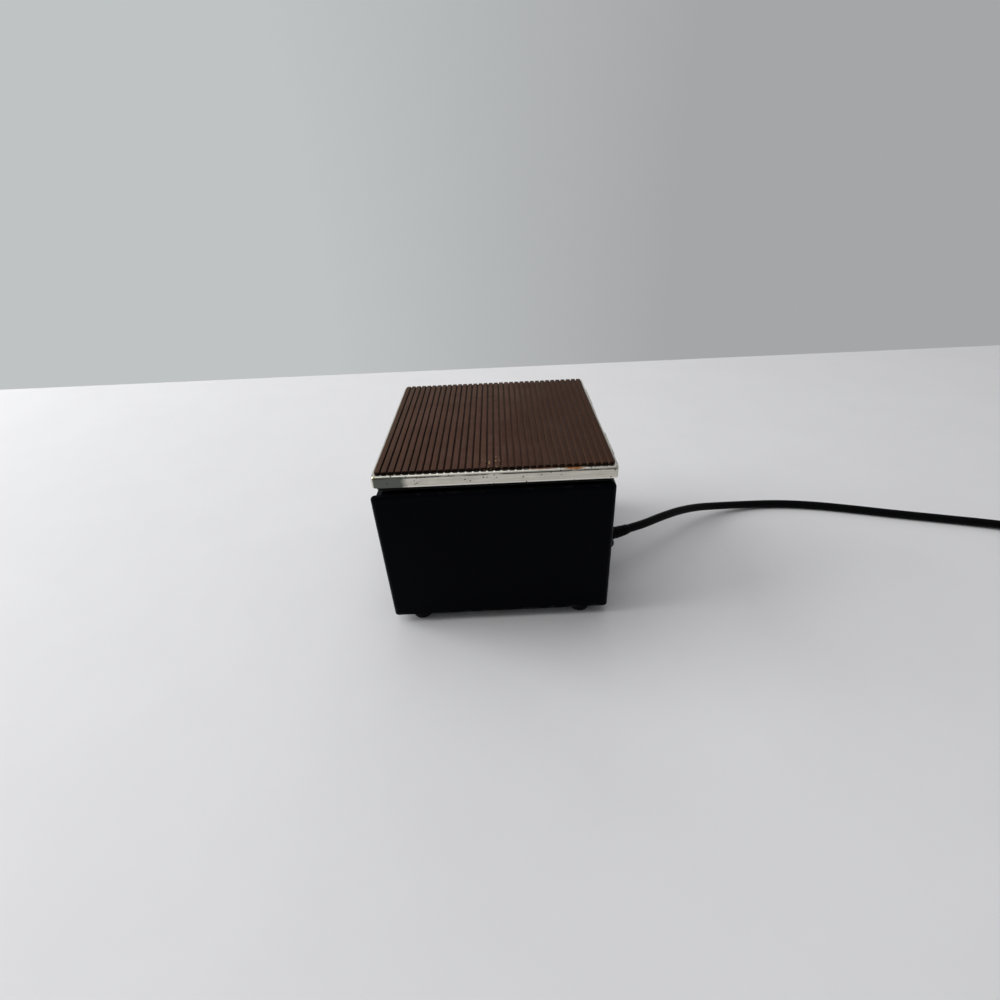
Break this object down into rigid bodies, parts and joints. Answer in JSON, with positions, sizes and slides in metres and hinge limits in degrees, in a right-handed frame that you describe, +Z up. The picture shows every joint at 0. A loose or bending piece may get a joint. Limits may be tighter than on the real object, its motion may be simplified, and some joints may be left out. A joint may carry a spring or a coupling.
{
  "type": "dry block heater",
  "caption": "Bench dry block heater: a black enamelled case with lift-out drilled aluminium blocks under a hinged, insulated steel lid topped with a ribbed rubber mat.",
  "frame": {"origin": "on the bench, under the middle of the heater in plan, from the knob's face to the hinges, cord left out", "axes": "+X from the control end to the hinge and cord end, +Y from the blank near side to the far side, +Z up"},
  "size_m": [0.6845, 0.2765, 0.1438],
  "materials": {
    "black_enamel": "satin black stove enamel on steel sheet",
    "zinc_sheet": "dull zinc-plated steel sheet",
    "dark_screw": "blackened steel pan-head screw",
    "steel_screw": "plated steel",
    "foot_rubber": "matt black rubber",
    "pan_aluminium": "pressed aluminium sheet",
    "block_aluminium": "machined aluminium",
    "heater_rubber": "orange-brown silicone rubber heater mat",
    "phenolic": "brown phenolic",
    "fibre_jacket": "pale glass-fibre wool",
    "brass_nut": "turned brass",
    "copper_bulb": "drawn copper",
    "knob_phenolic": "moulded black phenolic",
    "switch_plastic": "moulded black nylon",
    "rocker_plastic": "moulded black nylon, slightly glossy",
    "lamp_lens": "amber polycarbonate",
    "cord_rubber": "black flexible PVC",
    "tie_rubber": "black rubber strap",
    "plug_brass": "bright brass",
    "terminal_plastic": "white nylon",
    "hinge_steel": "plated steel",
    "lid_steel": "bright rolled stainless steel sheet",
    "board_black": "black insulating board",
    "mat_rubber": "brown ribbed rubber"
  },
  "bodies": {
    "case": {"block_pan": "pan_aluminium", "capillary_tube": "copper_bulb", "case_screws": "dark_screw", "chassis": "zinc_sheet", "cord_coil": "cord_rubber", "cord_tail": "cord_rubber", "cord_tie": "tie_rubber", "foot_far_front": "foot_rubber", "foot_far_rear": "foot_rubber", "foot_near_front": "foot_rubber", "foot_near_rear": "foot_rubber", "foot_screws": "steel_screw", "heater_plate": "heater_rubber", "heating_block_far": "block_aluminium", "heating_block_near": "block_aluminium", "hinge_case_rivets": "hinge_steel", "hinge_far_case_leaf": "hinge_steel", "hinge_far_pin": "hinge_steel", "hinge_near_case_leaf": "hinge_steel", "hinge_near_pin": "hinge_steel", "housing": "black_enamel", "inner_cord": "cord_rubber", "insulation": "fibre_jacket", "lamp_body": "switch_plastic", "lamp_lens": "lamp_lens", "lamp_nut": "steel_screw", "plug_body": "cord_rubber", "plug_pins": "plug_brass", "power_cord": "cord_rubber", "sensor_bulb": "copper_bulb", "strain_relief": "cord_rubber", "switch_frame": "switch_plastic", "terminal_block": "terminal_plastic", "thermal_cutout": "phenolic", "thermostat_body": "zinc_sheet", "thermostat_nut": "brass_nut"},
    "lid": {"lid_tray": "lid_steel", "lid_mat": "mat_rubber", "lid_board": "board_black", "lid_screws": "steel_screw", "hinge_near_lid_leaf": "hinge_steel", "hinge_far_lid_leaf": "hinge_steel", "hinge_lid_rivets": "hinge_steel"},
    "knob": {"control_knob": "knob_phenolic", "thermostat_shaft": "steel_screw"},
    "rocker": {"switch_rocker": "rocker_plastic"}
  },
  "joints": [
    {"name": "lid_hinge", "type": "hinge", "parent": "case", "child": "lid", "pos_m": [0.09815, 0, 0.1293], "axis": [0, 1, 0], "range_deg": [0, 100]},
    {"name": "knob_turn", "type": "hinge", "parent": "case", "child": "knob", "pos_m": [-0.08215, 0.018, 0.059], "axis": [1, 0, 0], "range_deg": [0, 270]},
    {"name": "rocker_tip", "type": "hinge", "parent": "case", "child": "rocker", "pos_m": [-0.08065, -0.032, 0.059], "axis": [0, 1, 0], "range_deg": [0, 20]}
  ]
}
